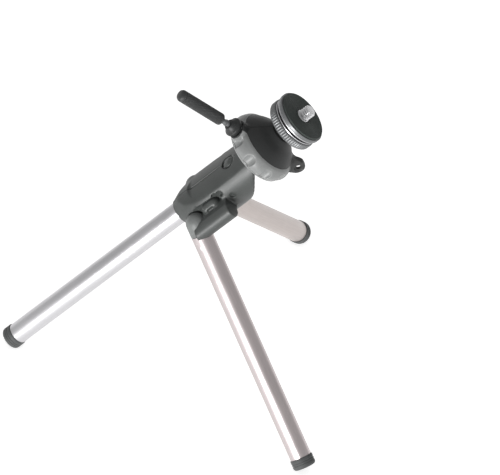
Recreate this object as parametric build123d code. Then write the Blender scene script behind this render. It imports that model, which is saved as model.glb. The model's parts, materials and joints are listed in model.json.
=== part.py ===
from build123d import *
from math import asin, cos, degrees, radians, sin, sqrt
import os

# Folding table-top tripod with a tilting, panning head.
# The stick frame: +Z runs along the fixed leg, body and head towards the camera stud, +X points down and
# forward, and Y runs across. The origin is on the stick's axis beside the leg hinges. The whole stick is
# then leaned about Y and lifted until the three feet stand on z = 0.

# Stance
STICK_ELEVATION = 48.0     # angle of the stick above the table, degrees
LEG_ELEVATION = 45.5       # angle of the two swinging legs above the table, degrees
LEG_AZIMUTH = 51.2         # each swinging leg's heading from straight ahead, degrees
LEG_LENGTH = 133.5         # hinge centre to the end of the foot

# Leg tubes
TUBE_R = 5.5
TUBE_WALL = 0.6
FOOT_R = 5.9
FOOT_EDGE = 1.5
FOOT_LENGTH = 5.5
FOOT_SPIGOT = 8.0
KNUCKLE_LENGTH = 6.3

# Hinges
HINGE_X = 2.4
HINGE_Y = 14.0
HINGE_Z = 0.95
HINGE_GAP = 0.3
PIN_R = 2.0
PIN_BORE_R = 2.05
PIN_BEARING_END = 8.2
PIN_END = 11.2
CAVITY_R = 3.2
CAVITY_END = 11.8

# Body
CORE_X = 2.9
CROWN_X = -7.25
CROWN_R = 31.0
POD_X = 5.0
POD_Y = 19.2
POD_R = 4.2
RECESS_Y = 10.8
POD_LOW = -9.0
POD_HIGH = 23.5
COLLAR_LOW = -11.0
TUBE_SEAT = 12.0
PAN_Z = 44.6
NECK_BOSS_R = 5.5
NUT_ROOM_LOW = 24.0
NUT_ROOM_HIGH = 32.0
NUT_ROOM_R = 6.0
POST_R = 2.5
POST_BORE_R = 2.56

# Head
HEAD_GAP = 0.3
HEAD_X = -1.6             # the head turns on an axis a little above the fixed leg's
HEAD_TURN = 8.0         # how far the head is panned at rest, degrees
SHELL_LOW = 47.0
CLAMP_Z = 52.0
BALL_Z = 63.0
BALL_R = 6.0
SOCKET_R = 6.06
RIM_Z = 65.6
FLUTES = 10
FLUTE_R = 1.6
FLUTE_OUT = 18.9
FLUTE_TURN = 199.0
FLUTE_HIGH = 54.0
HEAD_SCREW_X = 4.5
HEAD_SCREW_Y = 6.6
HEAD_SCREW_SEAT = 46.0
POST_HEAD_LOW = 46.6
POST_HEAD_TOP = 48.2
LUG_X = 23.4
LUG_R = 4.4
LUG_THICK = 2.2
LUG_HOLE_R = 1.3

# Clamp screw
SCREW_R = 2.5
SCREW_BORE_R = 2.56
PLUNGER_R = 2.9
PLUNGER_ROOM_R = 2.97
PLUNGER_BACK = -7.0
PLUNGER_TIP = 3.0
PLUNGER_TRAVEL = 0.9
GRIP_R = 3.15
GRIP_NEAR = -30.0
GRIP_FAR = -59.4
NECK_R = 1.4

# Camera platform
STEM_R = 2.6
STEM_TOP = 69.0
SHOULDER_R = 3.6          # plain shank under the camera thread
SHOULDER_BORE_R = 3.68
STUD_R = 3.175            # 1/4-20 thread, outside
STUD_TOP = 85.2
RING_R = 14.0
RING_LOW = 69.7
RING_HIGH = 73.9
THRUST_LOW = 74.1
THRUST_HIGH = 74.7
TRIM_LOW = 75.9
DISC_LOW = 76.7
DISC_HIGH = 78.9
DISC_R = 14.25
PAD_HIGH = 79.9
KNURLS = 40

UP = (Align.CENTER, Align.CENTER, Align.MIN)
LEAN = 90.0 - STICK_ELEVATION


def to_stick(x, y, z):
    """Turns a direction given in the standing frame into the stick frame."""
    lean = radians(LEAN)
    return Vector(x * cos(lean) - z * sin(lean), y, x * sin(lean) + z * cos(lean))


def leg_direction(side):
    """The open leg's direction in the stick frame; side is -1 for leg b and +1 for leg c."""
    level = cos(radians(LEG_ELEVATION))
    return to_stick(
        level * cos(radians(LEG_AZIMUTH)),
        side * level * sin(radians(LEG_AZIMUTH)),
        -sin(radians(LEG_ELEVATION)),
    )


def hinge_point(side):
    return Vector(HINGE_X, side * HINGE_Y, HINGE_Z)


def pin_direction(side):
    """Along the hinge pin, from the knuckle into the body."""
    across = leg_direction(side).cross(Vector(0, 0, -1)).normalized()
    return across * (-side)


SWING = degrees(asin(sqrt(1 - leg_direction(1).Z ** 2)))


def rod(start, direction, near, far, radius, end_radius=None):
    """A cylinder or cone along a line, from near to far along it."""
    plane = Plane(origin=start + direction * near, z_dir=direction)
    if end_radius is None:
        return plane * Cylinder(radius, far - near, align=UP)
    return plane * Cone(radius, end_radius, far - near, align=UP)


def post(radius, low, high, x=0.0, y=0.0):
    return Pos(x, y, low) * Cylinder(radius, high - low, align=UP)


def turned(points, smooth=False):
    """Revolves an outline of (radius, height) points about the stick's axis."""
    if smooth:
        edge = Spline(*[(r, 0, z) for r, z in points])
    else:
        edge = Polyline(*[(r, 0, z) for r, z in points])
    low, high = points[0], points[-1]
    closing = Polyline((high[0], 0, high[1]), (0, 0, high[1]), (0, 0, low[1]), (low[0], 0, low[1]))
    face = make_face(Curve() + [edge, closing])
    return revolve(face, axis=Axis.Z)


def tube(start, direction, near, far):
    return rod(start, direction, near, far, TUBE_R) - rod(start, direction, near, far, TUBE_R - TUBE_WALL)


def foot(start, direction, end):
    """A moulded rubber cap on the tube's end, with a spigot pushed into the bore."""
    cap = rod(start, direction, end - FOOT_LENGTH, end, FOOT_R)
    rims = cap.edges().filter_by(GeomType.CIRCLE)
    tip = rims.sort_by(Axis(start, direction))[-1]
    cap = fillet(tip, FOOT_EDGE)
    plug_low = end - FOOT_LENGTH - FOOT_SPIGOT
    return cap + rod(start, direction, plug_low, end - FOOT_LENGTH + 0.5, TUBE_R - TUBE_WALL)


def swept_leg(side, radius, reach):
    """The room that a swinging leg's root passes through, from open to folded."""
    centre, pin, way = hinge_point(side), pin_direction(side), leg_direction(side)
    room = Pos(centre) * Sphere(radius)
    room += rod(centre, way, 0, reach, radius)
    room += rod(centre, Vector(0, 0, -1), 0, reach, radius)
    start = way if side > 0 else Vector(0, 0, -1)
    turn_axis = pin * (-1)
    plane = Plane(origin=centre + turn_axis * (-radius), x_dir=start, z_dir=turn_axis)
    sector = Cylinder(reach, 2 * radius, arc_size=SWING, align=(Align.NONE, Align.NONE, Align.MIN))
    return room + plane * sector


def body_solid():
    core = turned(
        [(9.0, -5.0), (11.6, 0.0), (13.2, 7.0), (13.6, 16.0), (13.6, 27.0), (13.5, 35.0), (12.9, PAN_Z)],
        smooth=True,
    )
    core = Pos(CORE_X, 0, 0) * core
    core &= Pos(CROWN_X + CROWN_R, 0, -6) * Cylinder(CROWN_R, 60, align=UP)
    collar = Pos(0, 0, COLLAR_LOW) * Cone(6.3, 9.6, 15, align=UP)
    belly = post(8.6, -6.0, 9.0, x=9.0)
    belly = fillet(belly.edges(), 1.2)
    core &= extrude(Plane.XZ * make_face(Polyline(*SIDE_OUTLINE, close=True)), amount=30, both=True)
    recess = Box(POD_X - POD_R + 3.0, 20.0, 19.0, align=(Align.MIN, Align.MIN, Align.MIN))
    for side in (-1, 1):
        core -= Pos(-3.0, side * RECESS_Y - (20.0 if side < 0 else 0.0), 3.5) * recess
    neck = post(NECK_BOSS_R, NUT_ROOM_HIGH, PAN_Z, x=HEAD_X)
    whole = core + collar + belly + neck
    web = Box(2 * POD_R, 2 * POD_Y, POD_HIGH - 1.0, align=(Align.CENTER, Align.CENTER, Align.MIN))
    web = Pos(POD_X, 0, 0.5) * web
    whole += web
    for side in (-1, 1):
        whole += pod_solid(side)
        boss = Pos(0.4, side * 13.0, 13.0) * Rot(0, 0, -side * 12) * side_boss()
        whole += boss
    for side in (-1, 1):
        centre, pin = hinge_point(side), pin_direction(side)
        whole -= swept_leg(side, TUBE_R + HINGE_GAP, 30.0)
        whole -= rod(centre, pin, 0, CAVITY_END, PIN_BORE_R)
        whole -= rod(centre, pin, PIN_BEARING_END, CAVITY_END, CAVITY_R)
    whole -= post(TUBE_R, COLLAR_LOW - 1, TUBE_SEAT)
    whole -= post(POST_BORE_R, NUT_ROOM_LOW, PAN_Z + 1, x=HEAD_X)
    whole -= post(NUT_ROOM_R, NUT_ROOM_LOW, NUT_ROOM_HIGH, x=HEAD_X)
    for x, z in SCREW_PLACES:
        whole -= rod(Vector(x, 0, z), Vector(0, 1, 0), -9.0, 9.0, 1.3)
        whole -= rod(Vector(x, 0, z), Vector(0, 1, 0), 9.0, 30.0, 2.5)
    whole -= rod(Vector(0, 0, LOCK_PIN_Z), Vector(0, 1, 0), -8.0, 8.0, 1.2)
    return whole


# Side view of the body's core, as (x, z): flat along the crown, sloping up under the head.
SIDE_OUTLINE = ((-9, -6), (17, -6), (17, 22), (14.6, 28.5), (10.2, 34.0), (-0.4, PAN_Z), (-9, PAN_Z))
SCREW_PLACES = ((0.0, 18.0), (10.6, 27.5), (11.2, 14.0))
LOCK_PIN_Z = 6.5


def side_boss():
    """A long rounded pad on each side of the body, along the stick."""
    pad = extrude(Plane.XZ * SlotOverall(14.0, 6.0, rotation=90), amount=1.5, both=True)
    return pad


def pod_solid(side):
    """The rounded cheek that stands over the hinge and stops the open leg along its own centre plane."""
    centre, way = hinge_point(side), leg_direction(side)
    pod = post(POD_R, POD_LOW, POD_HIGH, x=POD_X, y=side * POD_Y)
    pod = fillet(pod.edges().sort_by(Axis.Z)[-1], 0.8)
    across = (Vector(0, 0, 1) - way * way.Z).normalized()
    beyond = Plane(origin=centre, x_dir=way, z_dir=across)
    return pod & (beyond * Box(80, 80, 80, align=UP))


def half(solid, side):
    block = Box(120, 60, 120, align=(Align.CENTER, Align.MIN if side > 0 else Align.MAX, Align.CENTER))
    return solid & (Pos(0, 0, 20) * block)


def housing_solid():
    """The clamp housing: a smooth dome with a lug, hollowed for the ball, its seat and the plunger."""
    dome = turned(
        [(17.9, SHELL_LOW), (18.8, 49.6), (18.3, 52.8), (15.9, 56.5), (12.5, 60.0), (9.2, 62.8), (6.9, RIM_Z)],
        smooth=True,
    )
    lug = Pos(LUG_X, 0, CLAMP_Z) * Rot(90, 0, 0) * Cylinder(LUG_R, LUG_THICK)
    arm = Pos(15.0, 0, CLAMP_Z) * Box(15.2, LUG_THICK, 2 * LUG_R)
    boss = rod(Vector(0, 0, CLAMP_Z), Vector(-1, 0, 0), 12.0, 19.2, 5.0)
    whole = dome + lug + arm + boss
    whole -= Pos(LUG_X + 1.0, 0, CLAMP_Z + 0.4) * Rot(90, 0, 0) * Cylinder(LUG_HOLE_R, 10)
    whole -= Pos(0, 0, BALL_Z) * Sphere(SOCKET_R)
    whole -= post(5.05, 54.9, BALL_Z)
    whole -= post(4.6, SHELL_LOW, POST_HEAD_TOP + 0.2) + flutes()
    whole -= rod(Vector(0, 0, CLAMP_Z), Vector(-1, 0, 0), 0, 30.0, SCREW_BORE_R)
    room_far = -PLUNGER_BACK + PLUNGER_TRAVEL + 0.4
    whole -= rod(Vector(0, 0, CLAMP_Z), Vector(-1, 0, 0), -PLUNGER_TIP - 0.3, room_far, PLUNGER_ROOM_R)
    for y in (-HEAD_SCREW_Y, HEAD_SCREW_Y):
        whole -= post(1.3, SHELL_LOW, 52.0, x=HEAD_SCREW_X, y=y)
    return whole


def pan_collar():
    """The dished plate under the dome that turns on the body, with the dome's finger flutes."""
    ring = turned(
        [(9.5, PAN_Z + HEAD_GAP), (14.6, 45.25), (16.9, 46.0), (17.9, SHELL_LOW)],
        smooth=True,
    )
    ring -= flutes()
    ring -= post(POST_BORE_R, PAN_Z, SHELL_LOW)
    ring -= post(4.6, POST_HEAD_LOW, SHELL_LOW)
    for y in (-HEAD_SCREW_Y, HEAD_SCREW_Y):
        ring -= post(1.3, PAN_Z, SHELL_LOW, x=HEAD_SCREW_X, y=y)
        ring -= post(2.4, PAN_Z, HEAD_SCREW_SEAT, x=HEAD_SCREW_X, y=y)
    return ring


def flutes():
    """Upright grooves between the lobes that the fingers turn the head by."""
    cuts = Part()
    for i in range(FLUTES):
        groove = post(FLUTE_R, PAN_Z, FLUTE_HIGH, x=FLUTE_OUT)
        cuts += Rot(0, 0, FLUTE_TURN + i * 360 / FLUTES) * groove
    return cuts


def clamp_parts():
    line, way = Vector(0, 0, CLAMP_Z), Vector(-1, 0, 0)
    body = rod(line, way, -0.5, -PLUNGER_BACK, PLUNGER_R)
    nose = rod(line, way, -PLUNGER_TIP, -0.5, 1.8, PLUNGER_R)
    screw = rod(line, way, -PLUNGER_BACK + 0.05, 24.0, SCREW_R) + rod(line, way, 24.0, 34.0, NECK_R)
    knob = rod(line, way, 19.8, 21.2, 4.3, 4.9) + rod(line, way, 21.2, 22.4, 4.9)
    knob += rod(line, way, 22.4, 25.0, 4.9, 2.6)
    knob -= rod(line, way, 19.0, 24.0, SCREW_R) + rod(line, way, 24.0, 26.0, NECK_R)
    grip = rod(line, way, -GRIP_NEAR, -GRIP_FAR, GRIP_R)
    grip = fillet(grip.edges().filter_by(GeomType.CIRCLE), 0.9)
    grip -= rod(line, way, -GRIP_NEAR - 1, 34.0, NECK_R)
    return {"clamp_plunger": body + nose, "clamp_screw": screw, "clamp_collar": knob, "handle_grip": grip}


def ball_seat():
    """A cup under the ball that the plunger's cone lifts."""
    return post(4.98, 54.95, 59.6) - Pos(0, 0, BALL_Z) * Sphere(SOCKET_R)


def platform_parts():
    ball = Pos(0, 0, BALL_Z) * Sphere(BALL_R) - post(STEM_R, BALL_Z, STEM_TOP)
    stem = post(STEM_R, BALL_Z, STEM_TOP) + Pos(0, 0, STEM_TOP) * Cone(STEM_R, SHOULDER_R, 0.6, align=UP)
    stem += post(SHOULDER_R, STEM_TOP + 0.6, PAD_HIGH) + post(STUD_R, PAD_HIGH, STUD_TOP)
    stem = chamfer(stem.edges().sort_by(Axis.Z)[-1], 0.6)
    disc = post(DISC_R, DISC_LOW, DISC_HIGH) - post(SHOULDER_R, DISC_LOW, DISC_HIGH)
    disc = fillet(disc.edges().filter_by(GeomType.CIRCLE).group_by(SortBy.RADIUS)[-1], 0.5)
    hub = post(6.2, TRIM_LOW - 0.1, DISC_LOW) - post(SHOULDER_R, RING_LOW, DISC_LOW)
    trim = post(13.6, TRIM_LOW, DISC_LOW) - post(6.2, TRIM_LOW, DISC_LOW)
    pad = post(13.5, DISC_HIGH, PAD_HIGH) - post(4.2, DISC_HIGH, PAD_HIGH)
    ring = post(RING_R, RING_LOW, RING_HIGH)
    ring = chamfer(ring.edges().group_by(Axis.Z)[0], 0.8)
    ring -= post(SHOULDER_BORE_R, RING_LOW, RING_HIGH)
    for i in range(KNURLS):
        ring -= Rot(0, 0, i * 360 / KNURLS) * Pos(RING_R + 0.35, 0, RING_LOW) * Cylinder(0.7, 5, align=UP)
    thrust = post(13.3, THRUST_LOW, THRUST_HIGH) - post(SHOULDER_BORE_R + 0.1, THRUST_LOW, THRUST_HIGH)
    return {
        "ball": ball, "camera_stud": stem, "platform_disc": disc, "platform_hub": hub, "platform_trim": trim,
        "rubber_pad": pad, "lock_ring": ring, "thrust_washer": thrust,
    }


def leg_parts(name, side):
    centre, way, pin = hinge_point(side), leg_direction(side), pin_direction(side)
    end = LEG_LENGTH
    tube_near = KNUCKLE_LENGTH
    knuckle = Pos(centre) * Sphere(TUBE_R) + rod(centre, way, 0, KNUCKLE_LENGTH, TUBE_R)
    knuckle += rod(centre, way, KNUCKLE_LENGTH, KNUCKLE_LENGTH + 14.0, TUBE_R - TUBE_WALL)
    rivet_line = rod(centre + way * (KNUCKLE_LENGTH + 6.0), pin, -TUBE_R, TUBE_R, 1.0)
    knuckle -= rivet_line
    knuckle -= rod(centre, pin, -3.0, 8.0, PIN_R)
    leg_tube = tube(centre, way, tube_near, end - FOOT_LENGTH) - rivet_line
    pivot = rod(centre, pin, -3.0, PIN_END, PIN_R)
    spring = rod(centre, pin, PIN_BEARING_END + 0.05, PIN_BEARING_END + 0.6, 2.95)
    spring -= rod(centre, pin, 7.0, 12.0, PIN_R)
    nut_plane = Plane(origin=centre + pin * (PIN_BEARING_END + 0.6), z_dir=pin)
    nut = nut_plane * extrude(RegularPolygon(3.0, 6), 2.0)
    nut -= rod(centre, pin, 7.0, 14.0, PIN_R)
    return {
        f"{name}_knuckle": knuckle,
        f"{name}_tube": leg_tube,
        f"{name}_foot": foot(centre, way, end),
        f"{name}_rivet": rivet_line,
        f"{name}_pivot_pin": pivot,
        f"{name}_spring_washer": spring,
        f"{name}_pivot_nut": nut,
    }


def drop_to_table(start, way, end, elevation):
    """Height of the stick's origin that puts this foot's lowest point on the table."""
    tilt = radians(elevation)
    along = (end - FOOT_EDGE) * sin(tilt) + (FOOT_R - FOOT_EDGE) * cos(tilt) + FOOT_EDGE
    rise = -start.X * sin(radians(LEAN)) + start.Z * cos(radians(LEAN))
    return along - rise


def build():
    parts = {}
    body = body_solid()
    parts["body_shell_b_side"] = half(body, -1)
    parts["body_shell_c_side"] = half(body, 1)
    screws = Part()
    for x, z in SCREW_PLACES:
        line, way = Vector(x, 0, z), Vector(0, 1, 0)
        screws += rod(line, way, -8.5, 9.0, 1.3) + rod(line, way, 9.0, 10.6, 2.4)
    parts["body_screws"] = screws
    origin = Vector(0, 0, 0)
    height = drop_to_table(hinge_point(1), leg_direction(1), LEG_LENGTH, LEG_ELEVATION)
    tilt = radians(STICK_ELEVATION)
    fixed_end = (height - FOOT_EDGE - (FOOT_R - FOOT_EDGE) * cos(tilt)) / sin(tilt) + FOOT_EDGE
    down = Vector(0, 0, -1)
    lock_pin = rod(Vector(0, 0, LOCK_PIN_Z), Vector(0, 1, 0), -7.9, 7.9, 1.2)
    parts["leg_a_tube"] = tube(origin, down, -TUBE_SEAT, fixed_end - FOOT_LENGTH) - lock_pin
    parts["leg_a_plug"] = post(TUBE_R - TUBE_WALL, -4.0, TUBE_SEAT) - lock_pin
    parts["leg_a_lock_pin"] = lock_pin
    parts["leg_a_foot"] = foot(origin, down, fixed_end)
    for name, side in (("leg_b", -1), ("leg_c", 1)):
        parts.update(leg_parts(name, side))
    pan_post = post(POST_R, 26.6, POST_HEAD_LOW) + post(4.4, POST_HEAD_LOW, POST_HEAD_TOP)
    head = {"pan_post": pan_post}
    head["pan_washer"] = post(4.8, 31.1, 31.9) - post(POST_R, 31, 32)
    head["pan_nut"] = extrude(Pos(0, 0, 28.0) * RegularPolygon(4.6, 6), 3.1) - post(POST_R, 28, 31.1)
    head["pan_collar"] = pan_collar()
    housing = housing_solid()
    head["head_shell_b_side"] = half(housing, -1)
    head["head_shell_c_side"] = half(housing, 1)
    head_screws = Part()
    for y in (-HEAD_SCREW_Y, HEAD_SCREW_Y):
        head_screws += post(1.3, HEAD_SCREW_SEAT, 51.5, x=HEAD_SCREW_X, y=y)
        head_screws += post(2.3, HEAD_SCREW_SEAT - 1.0, HEAD_SCREW_SEAT, x=HEAD_SCREW_X, y=y)
    head["head_screws"] = head_screws
    head["ball_seat"] = ball_seat()
    head.update(clamp_parts())
    head.update(platform_parts())
    for name, shape in head.items():
        parts[name] = Pos(HEAD_X, 0, 0) * Rot(0, 0, HEAD_TURN) * shape
    return parts, height


def main():
    os.makedirs("parts", exist_ok=True)
    parts, height = build()
    stand = Pos(0, 0, height) * Rot(0, LEAN, 0)
    placed = {name: stand * shape for name, shape in parts.items()}
    boxes = [shape.bounding_box() for shape in placed.values()]
    middle = (min(box.min.X for box in boxes) + max(box.max.X for box in boxes)) / 2
    for name, shape in placed.items():
        export_step(Pos(-middle, 0, 0) * shape, f"parts/{name}.step")
    print("stick origin at x", round(-middle, 5), "z", round(height, 5), "swing", round(SWING, 4))


main()
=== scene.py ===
import json
from math import cos, pi, radians, sin

import bmesh
import bpy
import numpy as np
import openvdb
from mathutils import Matrix, Vector

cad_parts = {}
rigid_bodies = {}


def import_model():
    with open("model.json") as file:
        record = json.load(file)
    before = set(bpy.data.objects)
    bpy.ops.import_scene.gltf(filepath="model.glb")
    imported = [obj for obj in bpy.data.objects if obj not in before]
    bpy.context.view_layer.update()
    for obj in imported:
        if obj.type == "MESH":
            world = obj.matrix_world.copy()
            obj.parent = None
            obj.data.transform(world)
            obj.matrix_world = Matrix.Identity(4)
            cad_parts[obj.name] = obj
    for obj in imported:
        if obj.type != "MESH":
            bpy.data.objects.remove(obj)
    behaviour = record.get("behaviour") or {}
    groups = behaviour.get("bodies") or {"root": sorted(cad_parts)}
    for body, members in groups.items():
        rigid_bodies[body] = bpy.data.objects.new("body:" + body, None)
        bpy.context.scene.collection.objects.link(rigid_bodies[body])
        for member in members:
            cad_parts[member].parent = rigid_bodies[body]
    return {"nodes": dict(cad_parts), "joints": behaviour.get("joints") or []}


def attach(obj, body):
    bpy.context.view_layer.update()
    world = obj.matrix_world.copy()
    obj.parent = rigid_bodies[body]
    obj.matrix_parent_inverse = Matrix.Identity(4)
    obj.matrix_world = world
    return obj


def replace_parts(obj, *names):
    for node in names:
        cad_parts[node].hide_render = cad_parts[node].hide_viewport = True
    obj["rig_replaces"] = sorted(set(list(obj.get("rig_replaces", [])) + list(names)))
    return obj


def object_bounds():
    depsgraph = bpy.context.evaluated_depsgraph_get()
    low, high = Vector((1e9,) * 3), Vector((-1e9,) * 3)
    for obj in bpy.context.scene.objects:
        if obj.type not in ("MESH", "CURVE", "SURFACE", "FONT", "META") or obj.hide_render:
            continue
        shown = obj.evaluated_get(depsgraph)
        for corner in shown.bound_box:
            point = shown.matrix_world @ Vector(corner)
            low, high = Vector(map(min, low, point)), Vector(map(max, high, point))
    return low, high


# A folding table-top tripod. Every shape is made in millimetres in one of a few local frames (the stick,
# the head, the handle and each leg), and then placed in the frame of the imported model, which is in metres.

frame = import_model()
cad_low, cad_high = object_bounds()
joints = {joint["name"]: joint for joint in frame["joints"]}

MM = 0.001

# Driving dimensions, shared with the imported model, in millimetres and degrees
HEAD_OFFSET = 1.6
PAN_HEIGHT = 40.0
LEG_ELEVATION = 45.5
LEG_AZIMUTH = 51.2
HINGE = Vector((2.4, 14.0, 0.95))
TUBE_R = 5.5
TUBE_WALL = 0.6
FOOT_R = 5.9
SWEEP_R = 5.8
CLAMP_Z = 52.0
BALL_Z = 63.0


# ---------------------------------------------------------------------------------------------- frames

def placed(origin, x_axis, z_axis):
    """A matrix from local millimetres to metres in the model's frame."""
    x_axis, z_axis = Vector(x_axis).normalized(), Vector(z_axis).normalized()
    y_axis = z_axis.cross(x_axis)
    turn = Matrix((x_axis, y_axis, z_axis)).transposed().to_4x4()
    return Matrix.Translation(origin) @ turn @ Matrix.Scale(MM, 4)


stick_up = Vector(joints["head_pan"]["axis"]).normalized()
stick_down_front = Vector((0, 1, 0)).cross(stick_up)
pan_point = Vector(joints["head_pan"]["pos_m"])
head_origin = pan_point - stick_up * PAN_HEIGHT * MM
STICK = placed(head_origin + stick_down_front * HEAD_OFFSET * MM, stick_down_front, stick_up)
HEAD = placed(head_origin, -Vector(joints["head_tilt"]["axis"]), stick_up)
HANDLE = HEAD @ Matrix.Translation((0, 0, CLAMP_Z)) @ Matrix.Rotation(radians(-90), 4, "Y")
LEG_A = STICK @ Matrix.Rotation(radians(180), 4, "X")


def leg_frame(side):
    """Local +Z runs down the leg from its hinge, and +X is the hinge pin."""
    joint = joints["leg_b_fold" if side < 0 else "leg_c_fold"]
    level = cos(radians(LEG_ELEVATION))
    across = radians(LEG_AZIMUTH)
    way = Vector((level * cos(across), side * level * sin(across), -sin(radians(LEG_ELEVATION))))
    pin = Vector(joint["axis"]).normalized()
    pin = (pin - way * pin.dot(way)).normalized()
    return placed(Vector(joint["pos_m"]), pin, way)


LEG_B, LEG_C = leg_frame(-1), leg_frame(1)


def span(node, place):
    """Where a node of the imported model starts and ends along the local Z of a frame, in millimetres."""
    back = place.inverted()
    heights = [(back @ vertex.co).z for vertex in frame["nodes"][node].data.vertices]
    return min(heights), max(heights)


# ---------------------------------------------------------------------------------------------- meshes

def piece(name, points, faces, place, body, node, material, crease=38):
    """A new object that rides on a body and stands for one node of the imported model."""
    mesh = bpy.data.meshes.new(name)
    mesh.from_pydata([tuple(p) for p in points], [], [tuple(f) for f in faces])
    work = bmesh.new()
    work.from_mesh(mesh)
    bmesh.ops.remove_doubles(work, verts=work.verts, dist=1e-4)
    bmesh.ops.recalc_face_normals(work, faces=work.faces)
    work.to_mesh(mesh)
    work.free()
    mesh.transform(place)
    mesh.polygons.foreach_set("use_smooth", [True] * len(mesh.polygons))
    mesh.set_sharp_from_angle(angle=radians(crease))
    mesh.materials.append(material)
    made = bpy.data.objects.new(name, mesh)
    bpy.context.scene.collection.objects.link(made)
    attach(made, body)
    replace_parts(made, node)
    return made


def lathe(outline, steps=96, ring=False, shape=None):
    """Turns (radius, height) points about Z. A shape(angle, height, radius) gives new radii."""
    outline = np.array(outline, float)
    angles = np.arange(steps) * 2 * pi / steps
    radius = outline[None, :, 0] + 0 * angles[:, None]
    height = outline[None, :, 1] + 0 * angles[:, None]
    if shape:
        radius = shape(angles[:, None] + 0 * height, height, radius)
    points = np.stack([radius * np.cos(angles)[:, None], radius * np.sin(angles)[:, None], height], -1)
    count = len(outline)
    faces = []
    last = count if ring else count - 1
    for i in range(steps):
        a, b = i * count, ((i + 1) % steps) * count
        for j in range(last):
            k = (j + 1) % count
            quad = [a + j, b + j, b + k, a + k]
            if outline[j, 0] < 1e-6:
                quad = [a + j, b + k, a + k]
            elif outline[k, 0] < 1e-6:
                quad = [a + j, b + j, a + k]
            faces.append(quad)
    return points.reshape(-1, 3), faces


def rounded(corners, fillet, steps=4):
    """Rounds the inner corners of an open outline of (radius, height) points."""
    corners = [Vector(c) for c in corners]
    out = [tuple(corners[0])]
    for before, corner, after in zip(corners, corners[1:], corners[2:]):
        size = min(fillet, (before - corner).length * 0.48, (after - corner).length * 0.48)
        start = corner + (before - corner).normalized() * size
        end = corner + (after - corner).normalized() * size
        for i in range(steps + 1):
            t = i / steps
            out.append(tuple(start.lerp(corner, t).lerp(corner.lerp(end, t), t)))
    out.append(tuple(corners[-1]))
    return out


# ------------------------------------------------------------------------------- solids as distance fields

class Field:
    """A box of sample points, in millimetres, on which solids are built as signed distances."""

    def __init__(self, low, high, step):
        self.low, self.step = np.array(low, float), step
        axes = [np.arange(a, b + step, step, dtype=np.float32) for a, b in zip(low, high)]
        self.x, self.y, self.z = np.meshgrid(*axes, indexing="ij", sparse=True)

    def rod(self, start, way, near, far, radius, edge=0.0):
        """A round bar from near to far along a line, with rounded ends."""
        start, way = Vector(start), Vector(way).normalized()
        dx, dy, dz = self.x - start.x, self.y - start.y, self.z - start.z
        along = dx * way.x + dy * way.y + dz * way.z
        out = np.sqrt(np.maximum(dx * dx + dy * dy + dz * dz - along * along, 0)) - (radius - edge)
        end = np.maximum(near + edge - along, along - far + edge)
        return capped(out, end) - edge

    def ball(self, centre, radius):
        dx, dy, dz = self.x - centre[0], self.y - centre[1], self.z - centre[2]
        return np.sqrt(dx * dx + dy * dy + dz * dz) - radius

    def turned(self, outline, x=0.0):
        """A solid of revolution about a vertical line, smooth through (radius, height) points."""
        heights = [h for _, h in outline]
        fine = np.linspace(heights[0], heights[-1], 400)
        radii = smooth_curve(fine, heights, [r for r, _ in outline])
        slope = np.gradient(radii, fine)
        at = np.interp(self.z, fine, radii).astype(np.float32)
        lean = np.interp(self.z, fine, 1 / np.sqrt(1 + slope**2)).astype(np.float32)
        out = (np.hypot(self.x - x, self.y) - at) * lean
        return np.maximum(out, np.maximum(heights[0] - self.z, self.z - heights[-1]))

    def block(self, low, high, edge=0.0):
        middle, half = (np.array(low) + np.array(high)) / 2, (np.array(high) - np.array(low)) / 2 - edge
        qx = abs(self.x - middle[0]) - half[0]
        qy = abs(self.y - middle[1]) - half[1]
        qz = abs(self.z - middle[2]) - half[2]
        outside = np.sqrt(np.maximum(qx, 0) ** 2 + np.maximum(qy, 0) ** 2 + np.maximum(qz, 0) ** 2)
        return outside + np.minimum(np.maximum(qx, np.maximum(qy, qz)), 0) - edge

    def beyond(self, point, normal):
        """Everything behind a plane."""
        normal = Vector(normal).normalized()
        dx, dy, dz = self.x - point[0], self.y - point[1], self.z - point[2]
        return dx * normal.x + dy * normal.y + dz * normal.z

    def surface(self, values):
        """The zero surface of a field, as points in millimetres and faces."""
        full = np.broadcast_to(values, (self.x.size, self.y.size, self.z.size)).astype(np.float32)
        band = 3 * self.step
        grid = openvdb.FloatGrid(float(band))
        grid.copyFromArray(np.clip(full, -band, band))
        points, quads = grid.convertToQuads(isovalue=0.0)
        return self.low + points * self.step, quads


def smooth_curve(at, places, values):
    """A smooth curve through points (Catmull-Rom slopes, cubic pieces)."""
    places, values = np.array(places, float), np.array(values, float)
    slopes = np.gradient(values, places)
    index = np.clip(np.searchsorted(places, at) - 1, 0, len(places) - 2)
    width = places[index + 1] - places[index]
    t = (at - places[index]) / width
    a, b = values[index], values[index + 1]
    m, n = slopes[index] * width, slopes[index + 1] * width
    from_values = (2 * t**3 - 3 * t**2 + 1) * a + (3 * t**2 - 2 * t**3) * b
    return from_values + (t**3 - 2 * t**2 + t) * m + (t**3 - t**2) * n


def capped(out, end):
    """The distance to a shape bounded by a side and by flat ends."""
    return np.minimum(np.maximum(out, end), 0) + np.sqrt(np.maximum(out, 0) ** 2 + np.maximum(end, 0) ** 2)


def join(a, b, blend=0.0):
    """The union of two fields, with a fillet of about the blend's size."""
    if not blend:
        return np.minimum(a, b)
    near = np.maximum(blend - abs(a - b), 0) / blend
    return np.minimum(a, b) - near * near * blend / 4


def common(a, b, blend=0.0):
    """The part that two fields share, with rounded edges."""
    return -join(-a, -b, blend)


def cut(a, b, blend=0.0):
    """The first field without the second, with rounded edges."""
    return -join(-a, b, blend)


# ------------------------------------------------------------------------------------------- materials

def nodes_of(name):
    material = bpy.data.materials.new(name)
    material.use_nodes = True
    tree = material.node_tree
    return material, tree, tree.nodes["Principled BSDF"]


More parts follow.
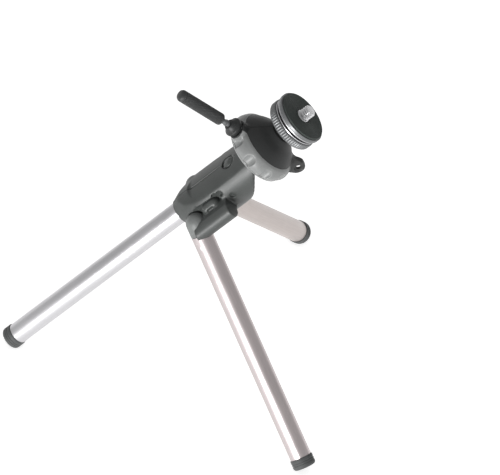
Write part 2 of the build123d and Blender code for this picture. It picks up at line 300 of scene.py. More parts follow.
def add(tree, kind, **values):
    node = tree.nodes.new(kind)
    for key, value in values.items():
        if key in node.inputs:
            node.inputs[key].default_value = value
        else:
            setattr(node, key, value)
    return node


def moulded(name, colour, roughness, grain, depth, sheen=0.0, specular=0.5):
    """Moulded plastic or rubber: fine grain in relief, and slow drift of colour and gloss."""
    material, tree, shader = nodes_of(name)
    link = tree.links.new
    where = add(tree, "ShaderNodeTexCoord")
    fine = add(tree, "ShaderNodeTexNoise", Scale=grain, Detail=3.0, Roughness=0.6)
    slow = add(tree, "ShaderNodeTexNoise", Scale=160.0, Detail=4.0, Roughness=0.55)
    link(where.outputs["Object"], fine.inputs["Vector"])
    link(where.outputs["Object"], slow.inputs["Vector"])
    tones = add(tree, "ShaderNodeValToRGB")
    dark, light = tones.color_ramp.elements[0], tones.color_ramp.elements[1]
    dark.position, light.position = 0.3, 0.72
    dark.color = (*[c * 0.82 for c in colour], 1)
    light.color = (*[c * 1.25 for c in colour], 1)
    blend = add(tree, "ShaderNodeMath", operation="MULTIPLY_ADD")
    blend.inputs[1].default_value = 0.45
    half = add(tree, "ShaderNodeMath", operation="MULTIPLY")
    half.inputs[1].default_value = 0.55
    link(fine.outputs["Fac"], half.inputs[0])
    link(slow.outputs["Fac"], blend.inputs[0])
    link(half.outputs[0], blend.inputs[2])
    link(blend.outputs[0], tones.inputs["Fac"])
    link(tones.outputs["Color"], shader.inputs["Base Color"])
    gloss = add(tree, "ShaderNodeMapRange")
    gloss.inputs["To Min"].default_value = roughness - 0.07
    gloss.inputs["To Max"].default_value = roughness + 0.09
    link(slow.outputs["Fac"], gloss.inputs["Value"])
    link(gloss.outputs["Result"], shader.inputs["Roughness"])
    relief = add(tree, "ShaderNodeBump", Strength=1.0, Distance=depth)
    link(fine.outputs["Fac"], relief.inputs["Height"])
    link(relief.outputs["Normal"], shader.inputs["Normal"])
    shader.inputs["Specular IOR Level"].default_value = specular
    shader.inputs["Sheen Weight"].default_value = sheen
    return material


def metal(name, colour, roughness, brushing, depth, along=None, metallic=1.0):
    """Metal with fine machining or drawing lines; along is the direction that the lines run in."""
    material, tree, shader = nodes_of(name)
    link = tree.links.new
    where = add(tree, "ShaderNodeTexCoord")
    turn = add(tree, "ShaderNodeMapping")
    if along is not None:
        turn.inputs["Rotation"].default_value = Vector(along).to_track_quat("Z", "Y").inverted().to_euler()
    stretch = add(tree, "ShaderNodeMapping")
    stretch.inputs["Scale"].default_value = (1, 1, 0.02 if along is not None else 1)
    lines = add(tree, "ShaderNodeTexNoise", Scale=brushing, Detail=3.0, Roughness=0.6)
    slow = add(tree, "ShaderNodeTexNoise", Scale=90.0, Detail=3.0)
    link(where.outputs["Object"], turn.inputs["Vector"])
    link(turn.outputs["Vector"], stretch.inputs["Vector"])
    link(stretch.outputs["Vector"], lines.inputs["Vector"])
    link(where.outputs["Object"], slow.inputs["Vector"])
    tones = add(tree, "ShaderNodeValToRGB")
    tones.color_ramp.elements[0].position, tones.color_ramp.elements[1].position = 0.25, 0.75
    tones.color_ramp.elements[0].color = (*[c * 0.9 for c in colour], 1)
    tones.color_ramp.elements[1].color = (*[min(c * 1.06, 1) for c in colour], 1)
    link(lines.outputs["Fac"], tones.inputs["Fac"])
    link(tones.outputs["Color"], shader.inputs["Base Color"])
    gloss = add(tree, "ShaderNodeMapRange")
    gloss.inputs["To Min"].default_value = roughness - 0.08
    gloss.inputs["To Max"].default_value = roughness + 0.08
    link(slow.outputs["Fac"], gloss.inputs["Value"])
    link(gloss.outputs["Result"], shader.inputs["Roughness"])
    relief = add(tree, "ShaderNodeBump", Strength=1.0, Distance=depth)
    link(lines.outputs["Fac"], relief.inputs["Height"])
    link(relief.outputs["Normal"], shader.inputs["Normal"])
    shader.inputs["Metallic"].default_value = metallic
    return material


LEG_PLACES = {"a": LEG_A, "b": LEG_B, "c": LEG_C}
leg_way = {name: place.to_3x3() @ Vector((0, 0, 1)) for name, place in LEG_PLACES.items()}
# The three legs are one satin aluminium given three tones of painted light: painted shade makes leg c darker
# than leg a, and a painted pinkish reflection tints legs b and c.
TUBE_PAINTED_LIGHT_TONES = {"a": (0.60, 0.595, 0.61), "b": (0.585, 0.53, 0.53), "c": (0.50, 0.45, 0.43)}
ALUMINIUM = {
    name: metal(f"satin_aluminium_painted_light_{name}", TUBE_PAINTED_LIGHT_TONES[name], 0.36, 3500.0, 4e-6, along=way)
    for name, way in leg_way.items()
}
BODY_PLASTIC = moulded("body_plastic", (0.043, 0.047, 0.045), 0.43, 2600.0, 2.6e-5)
# The knuckles take the body's grey plastic made about three times lighter: painted light, so that the leg
# roots look lit.
KNUCKLE_PAINTED_LIGHT_PLASTIC = moulded("knuckle_painted_light_plastic", (0.14, 0.147, 0.144), 0.4, 2600.0, 1.6e-5)
HEAD_PLASTIC = moulded("head_plastic", (0.014, 0.015, 0.015), 0.52, 3200.0, 2.2e-5)
# The head's lower band is grey where the dome is black, and its grey is raised to about four times the
# body's: painted light on the scooped flank.
SKIRT_PAINTED_LIGHT_PLASTIC = moulded("skirt_painted_light_plastic", (0.185, 0.19, 0.188), 0.38, 3000.0, 1.5e-5)
FOOT_RUBBER = moulded("foot_rubber", (0.055, 0.058, 0.058), 0.62, 1800.0, 1.6e-5, sheen=0.15, specular=0.35)
GRIP_RUBBER = moulded("grip_rubber", (0.022, 0.023, 0.023), 0.55, 2400.0, 2.2e-5, sheen=0.1)
PAD_RUBBER = moulded("pad_rubber", (0.034, 0.042, 0.038), 0.7, 1500.0, 2.0e-5, sheen=0.1, specular=0.3)
BLACK_METAL = metal("black_anodised", (0.16, 0.164, 0.167), 0.42, 1800.0, 4e-6, metallic=0.6)
BRIGHT_METAL = metal("turned_edge", (0.55, 0.55, 0.56), 0.33, 2600.0, 4e-6)
STEEL = metal("plated_steel", (0.72, 0.72, 0.73), 0.27, 2600.0, 3e-6)


# -------------------------------------------------------------------------------------- legs and feet

TUBE_INNER_R = TUBE_R - TUBE_WALL
TUBE_LINED = 3.0
FOOT_LENGTH = 5.5
FOOT_GROOVE = 0.22
FOOT_EDGE_R = 1.5
KNUCKLE_GAP = 0.12
KNUCKLE_TONGUE = 5.0


def leg_tube(name, place, body, material):
    """A drawn tube with its cut ends eased; the inner wall shows for a short way in at each end."""
    near, far = span(f"{name}_tube", place)
    corners = [(TUBE_INNER_R, near + TUBE_LINED), (TUBE_INNER_R, near), (TUBE_R, near)]
    corners += [(TUBE_R, far), (TUBE_INNER_R, far), (TUBE_INNER_R, far - TUBE_LINED)]
    points, faces = lathe(rounded(corners, 0.22), 96, ring=True)
    piece(f"{name}_drawn_tube", points, faces, place, body, f"{name}_tube", material)


def leg_foot(name, place, body):
    """A rubber cap with a lip at the tube, two shallow grip grooves and a dished end."""
    far = span(f"{name}_foot", place)[1]
    near = far - FOOT_LENGTH
    outline = [(0, near), (4.6, near), (FOOT_R - 0.18, near), (FOOT_R, near + 0.35)]
    for middle in (near + 1.9, near + 3.0):
        outline += [(FOOT_R, middle - 0.32), (FOOT_R - FOOT_GROOVE, middle - 0.14)]
        outline += [(FOOT_R - FOOT_GROOVE, middle + 0.14), (FOOT_R, middle + 0.32)]
    for i in range(9):
        turn = i / 8 * pi / 2
        radius = FOOT_R - FOOT_EDGE_R + FOOT_EDGE_R * cos(turn)
        outline.append((radius, far - FOOT_EDGE_R + FOOT_EDGE_R * sin(turn)))
    outline += [(3.6, far), (3.3, far - 0.3), (0, far - 0.45)]
    points, faces = lathe(outline, 96)
    piece(f"{name}_rubber_cap", points, faces, place, body, f"{name}_foot", FOOT_RUBBER)


def leg_knuckle(name, place, body):
    """The moulded tongue in the leg's root, with a rounded top and a shoulder that the tube butts on."""
    near = span(f"{name}_tube", place)[0]
    node = f"{name}_knuckle"
    field = Field((-6.5, -6.5, -6.5), (6.5, 6.5, near + 6), 0.2)
    shank = field.rod((0, 0, 0), (0, 0, 1), 0, near - KNUCKLE_GAP, TUBE_R, 0.25)
    tongue = field.rod((0, 0, 0), (0, 0, 1), 0, near + KNUCKLE_TONGUE, TUBE_INNER_R - 0.1, 0.2)
    points, faces = field.surface(join(join(field.ball((0, 0, 0), TUBE_R), shank), tongue))
    # The root's plastic is lighter than the body's, with painted light in its tone.
    piece(f"{name}_moulded_root", points, faces, place, body, node, KNUCKLE_PAINTED_LIGHT_PLASTIC)


for letter, body in (("a", "body"), ("b", "leg_b"), ("c", "leg_c")):
    leg, place = f"leg_{letter}", LEG_PLACES[letter]
    leg_tube(leg, place, body, ALUMINIUM[letter])
    leg_foot(leg, place, body)
    if letter != "a":
        leg_knuckle(leg, place, body)


# ------------------------------------------------------------------------------------------------ body

to_stick = STICK.inverted().to_3x3()


def in_stick(way):
    return (to_stick @ Vector(way)).normalized()


GRID = 0.25
HINGES = ((-1, LEG_B), (1, LEG_C))

# The core is turned about a line beside the stick's, and a large cylinder crowns its top
CORE_X = 2.9
CORE_LOW = [(4.4, -7.6), (8.2, -5.0), (11.0, -1.0), (12.4, 3.5), (13.2, 8.0)]
CORE_HIGH = [(13.6, 16.0), (13.6, 27.0), (13.5, 35.0), (12.9, 44.6)]
CROWN_X, CROWN_R = -7.25, 31.0
NECK_R, NECK_LOW, NECK_LENGTH = 5.5, 30.0, 14.6

# The tube's socket at the core's lower end
COLLAR = [(6.1, -8.0), (6.7, -2.5), (7.2, 4.0)]
COLLAR_LOW = -7.2
SOCKET_R = TUBE_R + 0.15

# The cheeks that carry the swinging legs: a web across the core and a round pod at each end of it
WEB_LOW, WEB_HIGH = (0.8, -19.2, 0.5), (9.2, 19.2, 23.0)
POD_X, POD_Y, POD_R = 5.0, 19.2, 4.2
POD_LOW, POD_HIGH = -9.0, 23.5

# Planes that slope the body's underside up to the head, as (point, outward direction) in the stick's frame
SLOPES = (
    ((10.2, 0, 34.0), (1, 0, 1)),
    ((14.6, 0, 28.5), (0.84, 0, 0.55)),
    ((17, 0, 22), (0.94, 0, 0.35)),
    ((0, 0, 44.6), (0, 0, 1)),
)
SCREW_PLACES = ((0.0, 18.0), (10.6, 27.5), (11.2, 14.0))
SCREW_SEAT_R = 2.5
RIBS, RIB_R, RIB_STEP = 6, 0.55, 2.2

# The sunk side wall, and the scallops at its ends as (height, radius)
RECESS_Y = 10.8
SCALLOPS = ((18.6, 1.9), (21.6, 1.5), (5.4, 1.7))
BOSS_X, BOSS_Y, BOSS_R = 0.3, 12.4, 3.0
BOSS_LOW, BOSS_HIGH = 10.6, 15.6

BUTTON = (-7.0, -0.6, 32.4)
BUTTON_R, BUTTON_RING_R, BUTTON_DOME_R = 3.0, 4.1, 7.0
BUTTON_SUNK = 0.6


def body_core(field):
    """A crowned core whose top face meets its sides in a soft ridge, with the fixed leg's socket below."""
    core = field.turned(CORE_LOW + CORE_HIGH, x=CORE_X)
    crown = field.rod((CROWN_X + CROWN_R, 0, -8), (0, 0, 1), 0, 60, CROWN_R)
    core = common(core, crown, 0.45)
    for point, normal in SLOPES:
        core = common(core, field.beyond(point, normal), 1.5)
    for side in (-1, 1):
        core = cut(core, side_recess(field, side), 0.7)
    collar = np.maximum(field.turned(COLLAR), COLLAR_LOW - field.z)
    belly = field.rod((9.0, 0, 0), (0, 0, 1), -6.0, 9.0, 8.6, 1.2)
    return join(join(core, collar, 3.0), belly, 2.0)


def body_cheek(field, whole, side, place):
    """A pod over one hinge, sloped off where the leg comes out of it, and the pad above it."""
    way = in_stick(place.to_3x3() @ Vector((0, 0, 1)))
    centre = (HINGE.x, side * HINGE.y, HINGE.z)
    across = Vector((0, 0, 1)) - way * way.z
    pod = field.rod((POD_X, side * POD_Y, 0), (0, 0, 1), POD_LOW, POD_HIGH, POD_R, 0.9)
    pod = common(pod, field.beyond(centre, -across), 0.4)
    whole = join(whole, pod, 1.2)
    return join(whole, side_boss(field, side), 0.35)


def body_field():
    """The whole body, before it is split along its joint line."""
    field = Field((-8.2, -24.4, -12.0), (18.4, 24.4, 45.4), GRID)
    whole = join(body_core(field), field.block(WEB_LOW, WEB_HIGH, 0.5), 1.0)
    for side, place in HINGES:
        whole = body_cheek(field, whole, side, place)
    for side, place in HINGES:
        whole = cut(whole, swept_leg(field, side, place), 0.35)
    whole = cut(whole, field.rod((0, 0, 0), (0, 0, 1), -13.0, -3.0, SOCKET_R), 0.3)
    whole = crown_button(field, whole)
    whole = cut(whole, field.block((-9.0, -0.55, 6.0), (-6.5, 0.55, 25.0), 0.2), 0.4)
    for x, z in SCREW_PLACES:
        whole = cut(whole, field.rod((x, 0, z), (0, 1, 0), 9.0, 30.0, SCREW_SEAT_R), 0.3)
    for i in range(RIBS):
        start = (13.4 - RIB_STEP * i, 0, 30.6 + RIB_STEP * i)
        whole = cut(whole, field.rod(start, (0, 1, 0), -14, 14, RIB_R), 0.5)
    neck = field.rod((-HEAD_OFFSET, 0, NECK_LOW), (0, 0, 1), 0, NECK_LENGTH, NECK_R, 0.2)
    return field, join(whole, neck, 0.6)


def side_recess(field, side):
    """The sunk side wall under the ridge, with scalloped ends, and a small dimple beyond it."""
    low, high = sorted((side * RECESS_Y, side * 24.0))
    room = field.block((-3.1, low, 3.2), (2.6, high, 20.6), 0.6)
    for z, reach in SCALLOPS:
        room = join(room, field.rod((-2.2, 0, z), (0, side, 0), RECESS_Y + 0.1, 24.0, reach), 0.3)
    return join(room, field.rod((2.4, side * 13.6, 26.2), (0.25, side, 0), -0.9, 3.0, 1.3), 0.2)


def crown_button(field, whole):
    """A round lock button near the head, in a ring-shaped groove."""
    outward = (-1, 0, 0)
    ring = field.rod(BUTTON, outward, -1.8, 3.0, BUTTON_RING_R)
    groove = np.maximum(ring, -field.rod(BUTTON, outward, -3.0, 4.0, BUTTON_R))
    whole = cut(whole, groove, 0.3)
    dome_centre = (BUTTON[0] + BUTTON_DOME_R - BUTTON_SUNK, *BUTTON[1:])
    button = field.rod(BUTTON, outward, -3.0, 1.2, BUTTON_R)
    return join(whole, common(field.ball(dome_centre, BUTTON_DOME_R), button, 0.4))


def side_boss(field, side):
    """A bean-shaped pad in the sunk side wall, with a shallow groove along its middle."""
    y = side * BOSS_Y
    bean = field.rod((BOSS_X, y, 0), (0, 0, 1), BOSS_LOW, BOSS_HIGH, BOSS_R)
    for z in (BOSS_LOW, BOSS_HIGH):
        bean = np.minimum(bean, field.ball((BOSS_X, y, z), BOSS_R))
    dent = field.rod((0.1, side * 16.3, 0), (0, 0, 1), BOSS_LOW + 0.6, BOSS_HIGH - 0.6, 1.5, 0.5)
    return cut(bean, dent, 0.5)


def swept_leg(field, side, place):
    """The room that a swinging leg's root passes through, from open to folded."""
    centre = Vector((HINGE.x, side * HINGE.y, HINGE.z))
    way = in_stick(place.to_3x3() @ Vector((0, 0, 1)))
    down = Vector((0, 0, -1))
    room = join(field.rod(centre, way, 0, 40, SWEEP_R), field.rod(centre, down, 0, 40, SWEEP_R))
    room = join(room, field.ball(centre, SWEEP_R))
    pin = way.cross(down).normalized()
    slab = abs(field.beyond(centre, pin)) - SWEEP_R
    between = np.maximum(-field.beyond(centre, pin.cross(way)), -field.beyond(centre, down.cross(pin)))
    return join(room, np.maximum(slab, between))


field, body_solid = body_field()
for name, side in (("body_shell_b_side", -1), ("body_shell_c_side", 1)):
    points, faces = field.surface(common(body_solid, -side * field.y + 0.1, 0.5))
    made_name = name.replace("shell", "moulding")
    piece(made_name, points, faces, STICK, "body", name, BODY_PLASTIC)


# ------------------------------------------------------------------------------------------------ head

LOBES = 10
LOBE_START = radians(199.0)
SCOOP_R, SCOOP_PLACE, SCOOP_LOW, SCOOP_LENGTH = 2.9, 19.6, 42.0, 9.2
RIM_Z = 47.0
DOME = [(17.9, RIM_Z), (18.8, 49.6), (18.3, 52.8), (15.9, 56.5), (12.5, 60.0), (9.2, 62.8), (6.9, 65.6)]
PLATE = [(9.5, 44.9), (14.6, 45.25), (16.9, 46.0), (17.9, RIM_Z)]
DOME_SETBACK, SETBACK_LOW, SETBACK_HEIGHT = 0.45, 54.6, 1.4
BAND_TOP, BAND_R, BAND_X = 55.6, 19.3, 14.0
LUG_X, LUG_R, LUG_HALF = 23.4, 4.4, 1.1
LUG_HOLE = Vector((24.4, 0, CLAMP_Z + 0.4))
LUG_HOLE_R, LUG_SINK_R = 1.3, 2.2
CLAMP_BOSS_R = 5.0
SOCKET_BALL_R = 6.06


def scoops(field, whole):
    """Finger scoops round the lower edge, each with a rounded upper end."""
    for i in range(LOBES):
        turn = LOBE_START + i * 2 * pi / LOBES
        foot = Vector((cos(turn), sin(turn), 0)) * SCOOP_PLACE + Vector((0, 0, SCOOP_LOW))
        top = foot + Vector((0, 0, SCOOP_LENGTH))
        scoop = np.minimum(field.rod(foot, (0, 0, 1), 0, SCOOP_LENGTH, SCOOP_R), field.ball(top, SCOOP_R))
        whole = cut(whole, scoop, 0.3)
    return whole


def dome_field():
    """The head above its rim: a scooped band, the dome set back above it, the lug and the clamp's boss."""
    field = Field((-20.2, -19.6, 46.6), (28.6, 19.6, 66.2), GRID)
    step = np.clip((field.z - SETBACK_LOW) / SETBACK_HEIGHT, 0, 1)
    dome = scoops(field, field.turned(DOME) + DOME_SETBACK * step * step * (3 - 2 * step))
    lug = field.rod((LUG_X, 0, CLAMP_Z), (0, 1, 0), -LUG_HALF, LUG_HALF, LUG_R, 0.5)
    root_low = (12.0, -LUG_HALF, CLAMP_Z - LUG_R)
    root_high = (23.0, LUG_HALF, CLAMP_Z + LUG_R)
    whole = join(dome, lug, 1.0)
    whole = join(whole, field.block(root_low, root_high, 0.5), 2.4)
    whole = join(whole, field.rod((0, 0, CLAMP_Z), (-1, 0, 0), 12.0, 19.2, CLAMP_BOSS_R, 0.4), 0.8)
    whole = cut(whole, field.rod(LUG_HOLE, (0, 1, 0), -5, 5, LUG_HOLE_R), 0.4)
    whole = cut(whole, field.rod(LUG_HOLE, (0, -1, 0), 0.8, 5, LUG_SINK_R), 0.3)
    whole = cut(whole, field.ball((0, 0, BALL_Z), SOCKET_BALL_R), 0.3)
    return field, np.maximum(whole, RIM_Z - field.z)


field, dome_solid = dome_field()
to_head = HEAD.inverted()
for name, side in (("head_shell_b_side", -1), ("head_shell_c_side", 1)):
    points, faces = field.surface(common(dome_solid, -side * field.y + 0.02, 0.15))
    made_name = name.replace("shell", "dome")
    shell = piece(made_name, points, faces, HEAD, "head", name, HEAD_PLASTIC)
    # Faces of the band low on the dome, away from the lug, take the lighter skirt plastic, whose tone holds
    # painted light.
    shell.data.materials.append(SKIRT_PAINTED_LIGHT_PLASTIC)
    for face in shell.data.polygons:
        at = to_head @ face.center
        if at.z < BAND_TOP and at.x < BAND_X and Vector((at.x, at.y)).length < BAND_R:
            face.material_index = 1


def rim_field():
    """The dished plate under the scooped band."""
    field = Field((-18.6, -18.6, 44.4), (18.6, 18.6, 47.4), GRID)
    return field, np.maximum(scoops(field, field.turned(PLATE)), field.z - (RIM_Z - 0.05))


field, rim_solid = rim_field()
points, faces = field.surface(rim_solid)
# The rim plate takes the band's lighter plastic with its painted light.
piece("lobed_rim_plate", points, faces, HEAD, "head", "pan_collar", SKIRT_PAINTED_LIGHT_PLASTIC)


# ---------------------------------------------------------------------------------------------- handle

def diamond_knurl(turns, pitch, depth, low, high):
    """Crossed V grooves over part of a turned surface."""

    def shape(angle, height, radius):
        one = abs(((angle * turns / (2 * pi) + height / pitch) % 1.0) - 0.5) * 2
        two = abs(((angle * turns / (2 * pi) - height / pitch) % 1.0) - 0.5) * 2
        inside = (height > low) & (height < high)
        return radius - np.where(inside, depth * (1 - np.minimum(one, two) * 2).clip(0, 1), 0)

    return shape


GRIP_R = 3.15
KNURL_TURNS, KNURL_PITCH, KNURL_DEPTH, KNURL_STEP = 20, 1.7, 0.24, 0.12
BAND_DEPTH = 0.28
COLLAR_R = 4.9
SPINDLE_R, SPINDLE_NECK_R, SPINDLE_STOP_R = 2.5, 1.4, 1.75
SPINDLE_SHOULDER, SPINDLE_STOP = 23.9, 26.2


def handle_grip():
    """The grip: crossed knurling, a turned band near the free end and a domed tip."""
    near, far = span("handle_grip", HANDLE)
    knurl_low, knurl_high = near + 1.3, far - 3.1
    outline = [(1.4, near), (2.5, near), (GRIP_R - 0.15, near + 0.5), (GRIP_R, near + 1.1)]
    outline += [(GRIP_R, h) for h in np.arange(knurl_low, far - 3.0, KNURL_STEP)]
    outline += [(GRIP_R, far - 2.9), (GRIP_R - BAND_DEPTH, far - 2.7)]
    outline += [(GRIP_R - BAND_DEPTH, far - 2.35), (GRIP_R, far - 2.1)]
    outline += [(GRIP_R - 0.05, far - 1.5), (GRIP_R - 0.5, far - 0.6), (GRIP_R - 1.3, far - 0.12), (0, far)]
    knurl = diamond_knurl(KNURL_TURNS, KNURL_PITCH, KNURL_DEPTH, knurl_low, knurl_high)
    points, faces = lathe(outline, 240, shape=knurl)
    name = "handle_knurled_grip"
    piece(name, points, faces, HANDLE, "handle", "handle_grip", GRIP_RUBBER, crease=50)


def handle_collar():
    """The flared collar that bears on the head's boss."""
    near = span("clamp_collar", HANDLE)[0]
    outline = [(2.5, near), (4.2, near), (4.35, near + 0.2), (4.75, near + 1.2)]
    outline += [(COLLAR_R, near + 1.5), (COLLAR_R, near + 2.3), (4.55, near + 2.6), (4.1, near + 2.9)]
    outline += [(3.5, near + 3.5), (3.0, near + 4.3), (2.6, near + 5.1), (1.5, near + 5.2)]
    points, faces = lathe(rounded(outline, 0.25, 2), 96)
    name = "handle_flared_collar"
    piece(name, points, faces, HANDLE, "handle", "clamp_collar", HEAD_PLASTIC)


def handle_spindle():
    """The clamp screw: its shank, a thin neck and a small stop ring on the neck."""
    near, far = span("clamp_screw", HANDLE)
    outline = [(0, near), (2.3, near), (SPINDLE_R, near + 0.3), (SPINDLE_R, SPINDLE_SHOULDER)]
    outline += [(SPINDLE_NECK_R, SPINDLE_SHOULDER + 0.2), (SPINDLE_NECK_R, SPINDLE_STOP)]
    outline += [(SPINDLE_STOP_R, SPINDLE_STOP + 0.2), (SPINDLE_STOP_R, SPINDLE_STOP + 0.7)]
    outline += [(SPINDLE_NECK_R, SPINDLE_STOP + 0.9), (SPINDLE_NECK_R, far - 0.3), (1.2, far), (0, far)]
    points, faces = lathe(outline, 64)
    piece("handle_spindle", points, faces, HANDLE, "handle", "clamp_screw", BLACK_METAL)


handle_grip()
handle_collar()
handle_spindle()


# -------------------------------------------------------------------------------------------- platform

def ribs(count, depth, sharp=1.0):
    """Even ribs round a turned surface."""

    def shape(angle, height, radius):
        wave = abs(np.sin(angle * count / 2)) ** sharp
        outer = radius > radius.max() - 0.35
        return radius - np.where(outer, depth * (1 - wave), 0)

    return shape


RING_R, RING_BORE_R = 14.0, 3.7
RING_RIBS, RING_RIB_DEPTH = 60, 0.34
DISC_R, DISC_BORE_R = 14.25, 3.6
PAD_R, PAD_BORE_R = 13.5, 4.2
PAD_GROOVE_DEPTH, PAD_GROOVE_STEP = 0.16, 0.95


def lock_ring():
    """The ribbed ring that locks the camera, with a chamfer below and an eased edge above."""
    near, far = span("lock_ring", HEAD)
    outline = [(RING_BORE_R, near), (12.9, near), (13.25, near)]
    outline += [(13.95, near + 0.75), (RING_R, near + 0.95)]
    outline += [(RING_R, far - 0.55), (13.9, far - 0.35), (13.55, far), (RING_BORE_R, far)]
    points, faces = lathe(outline, 480, ring=True, shape=ribs(RING_RIBS, RING_RIB_DEPTH, 0.7))
    name = "lock_ring_knurled"
    piece(name, points, faces, HEAD, "lock_ring", "lock_ring", BLACK_METAL, crease=30)


def flat_ring(name, node, body, bore, radius, leads, fillet, steps, material):
    """A flat turned ring with eased edges; leads are how far up and down its bore's wall is drawn."""
    near, far = span(node, HEAD)
    corners = [(bore, near + leads[0]), (bore, near), (radius, near)]
    corners += [(radius, far), (bore, far), (bore, far - leads[1])]
    points, faces = lathe(rounded(corners, fillet), steps, ring=True)
    piece(name, points, faces, HEAD, body, node, material)


def rubber_pad():
    """The pad under the camera, with shallow ring-shaped grooves."""
    near, far = span("rubber_pad", HEAD)
    outline = [(PAD_BORE_R, near), (13.3, near), (PAD_R, near + 0.15), (PAD_R, far - 0.3)]
    outline += [(13.35, far - 0.08), (13.2, far)]
    radius, floor = 12.9, far - PAD_GROOVE_DEPTH
    while radius > 5.0:
        outline += [(radius, far), (radius - 0.12, floor), (radius - 0.36, floor), (radius - 0.48, far)]
        radius -= PAD_GROOVE_STEP
    outline += [(PAD_BORE_R + 0.1, far), (PAD_BORE_R, far - 0.1)]
    points, faces = lathe(outline, 160, ring=True)
    name = "platform_rubber_pad"
    piece(name, points, faces, HEAD, "platform", "rubber_pad", PAD_RUBBER, crease=30)


lock_ring()
THIN = (0.3, 0.2)
THICK = (0.4, 0.4)
flat_ring("thrust_washer_turned", "thrust_washer", "thrust_ring", 3.9, 13.3, THIN, 0.16, 128, BRIGHT_METAL)
flat_ring("platform_bright_ring", "platform_trim", "platform", 6.2, 13.6, THIN, 0.2, 128, BRIGHT_METAL)
flat_ring("platform_plate", "platform_disc", "platform", DISC_BORE_R, DISC_R, THICK, 0.45, 160, BLACK_METAL)
rubber_pad()


THREAD_PITCH, THREAD_CREST_R, THREAD_ROOT_R = 1.27, 3.175, 2.55
SHANK_R, SHOULDER_R = 2.6, 3.6
SHOULDER_LOW = 69.0
THREAD_STEP, THREAD_STEPS = 0.06, 72


def camera_screw():
    """The 1/4-20 screw: a real thread of 1.27 mm pitch over a plain shoulder."""
    low, high = span("camera_stud", HEAD)
    thread_low = span("rubber_pad", HEAD)[1]
    heights = np.arange(thread_low, high, THREAD_STEP)
    outline = [(0, low), (SHANK_R, low), (SHANK_R, SHOULDER_LOW), (SHOULDER_R, SHOULDER_LOW + 0.6)]
    outline += [(SHOULDER_R, thread_low - 0.15), (3.45, thread_low)]
    start = len(outline)
    outline += [(THREAD_CREST_R, h) for h in heights]
    outline += [(2.2, high), (0, high)]

    def shape(angle, height, radius):
        phase = (height / THREAD_PITCH - angle / (2 * pi)) % 1.0
        tooth = (abs(phase - 0.5) * 2 * 1.25 - 0.1).clip(0, 1)
        runout = np.minimum((height - thread_low) / 0.8, (high - height) / 0.7).clip(0, 1)
        threaded = THREAD_ROOT_R + (THREAD_CREST_R - THREAD_ROOT_R) * (1 - tooth)
        ends = np.where(height > high - 0.7, radius - (height - high + 0.7) * 0.75, radius)
        value = np.where(runout < 1, np.minimum(ends, threaded + (1 - runout) * 0.3), threaded)
        column = np.arange(radius.shape[1])
        is_thread = (column >= start) & (column < start + len(heights))
        return np.where(is_thread[None, :], np.minimum(value, THREAD_CREST_R), radius)

    points, faces = lathe(outline, THREAD_STEPS, shape=shape)
    name = "camera_screw_threaded"
    piece(name, points, faces, HEAD, "platform", "camera_stud", STEEL, crease=45)


camera_screw()

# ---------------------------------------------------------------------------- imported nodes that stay

KEPT = {
    "ball": HEAD_PLASTIC,
    "ball_seat": HEAD_PLASTIC,
    "clamp_plunger": HEAD_PLASTIC,
    "leg_a_plug": BODY_PLASTIC,
    "platform_hub": BLACK_METAL,
}
hidden = {node for made in bpy.data.objects for node in made.get("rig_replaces", [])}
for name, node in frame["nodes"].items():
    if name in hidden:
        continue
    material = KEPT.get(name, STEEL)
    for slot in node.material_slots:
        slot.material = material


# -------------------------------------------------------------------------------- floor, light, camera

FLOOR_HALF = 15.0
FLOOR_GLOW = 0.62
WORLD_GLOW = 0.5
KEY_OFFSET = Vector((-0.42, -1.02, 0.0))
KEY_WIDTH, KEY_HEIGHT, KEY_POWER = 0.42, 0.17, 12.0


def floor():
    """A pale plain floor that also lights the part from below."""
    mesh = bpy.data.meshes.new("floor")
    work = bmesh.new()
    bmesh.ops.create_grid(work, x_segments=8, y_segments=8, size=FLOOR_HALF)
    work.to_mesh(mesh)
    work.free()
    made = bpy.data.objects.new("floor", mesh)
    material, _, shader = nodes_of("pale_floor")
    shader.inputs["Base Color"].default_value = (0.93, 0.93, 0.93, 1)
    shader.inputs["Roughness"].default_value = 0.9
    shader.inputs["Specular IOR Level"].default_value = 0.1
    shader.inputs["Emission Color"].default_value = (1, 1, 1, 1)
    shader.inputs["Emission Strength"].default_value = FLOOR_GLOW
    mesh.materials.append(material)
    bpy.context.scene.collection.objects.link(made)


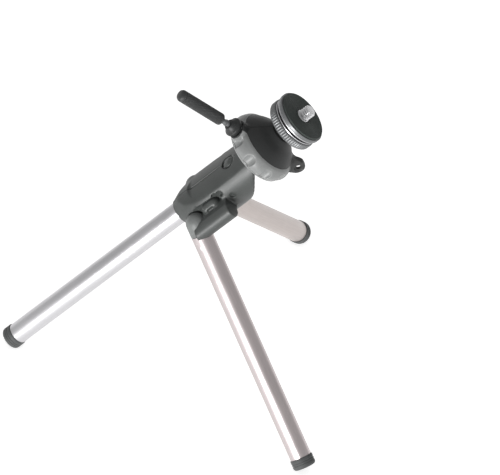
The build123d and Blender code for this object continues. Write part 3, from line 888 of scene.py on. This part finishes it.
def key_lamp(aim):
    """A wide low lamp in front of the part and to its left."""
    data = bpy.data.lights.new("key", "AREA")
    data.shape, data.energy = "RECTANGLE", KEY_POWER
    data.size, data.size_y = KEY_WIDTH, KEY_HEIGHT
    made = bpy.data.objects.new("key", data)
    made.location = aim + KEY_OFFSET
    made.rotation_mode = "QUATERNION"
    made.rotation_quaternion = (-KEY_OFFSET).to_track_quat("-Z", "Y")
    made.visible_camera = False
    bpy.context.scene.collection.objects.link(made)


floor()
world = bpy.data.worlds.new("studio")
world.use_nodes = True
world.node_tree.nodes["Background"].inputs["Color"].default_value = (1, 1, 1, 1)
world.node_tree.nodes["Background"].inputs["Strength"].default_value = WORLD_GLOW
bpy.context.scene.world = world
bpy.context.scene.view_settings.view_transform = "Standard"
key_lamp((cad_low + cad_high) / 2)

# The camera looks from a long way off, from 42 degrees above, a little to the left of front.
CAMERA_ELEVATION, CAMERA_TURN, CAMERA_ROLL = radians(42.04), radians(3.32), radians(4.17)
CAMERA_FAR = 6.07
FIELD_WIDTH = 0.24882
SENSOR_WIDTH = 36.0
AIM_POINT = Vector((10.0, 0, 20.0))
AIM_RIGHT, AIM_DOWN = 0.00777, 0.02259


def camera():
    """A long lens, aimed a little below and beside a point inside the body."""
    flat = Vector((sin(CAMERA_TURN), cos(CAMERA_TURN), 0)) * cos(CAMERA_ELEVATION)
    view = flat - Vector((0, 0, sin(CAMERA_ELEVATION)))
    level = Vector((cos(CAMERA_TURN), -sin(CAMERA_TURN), 0))
    upward = level.cross(view)
    right = level * cos(CAMERA_ROLL) + upward * sin(CAMERA_ROLL)
    up = upward * cos(CAMERA_ROLL) - level * sin(CAMERA_ROLL)
    aim = STICK @ AIM_POINT + right * AIM_RIGHT - up * AIM_DOWN
    turn = Matrix((right, up, -view)).transposed().to_4x4()
    data = bpy.data.cameras.new("camera")
    data.sensor_width = SENSOR_WIDTH
    data.lens = SENSOR_WIDTH * CAMERA_FAR / FIELD_WIDTH
    made = bpy.data.objects.new("camera", data)
    made.matrix_world = Matrix.Translation(aim - view * CAMERA_FAR) @ turn
    bpy.context.scene.collection.objects.link(made)
    bpy.context.scene.camera = made


camera()
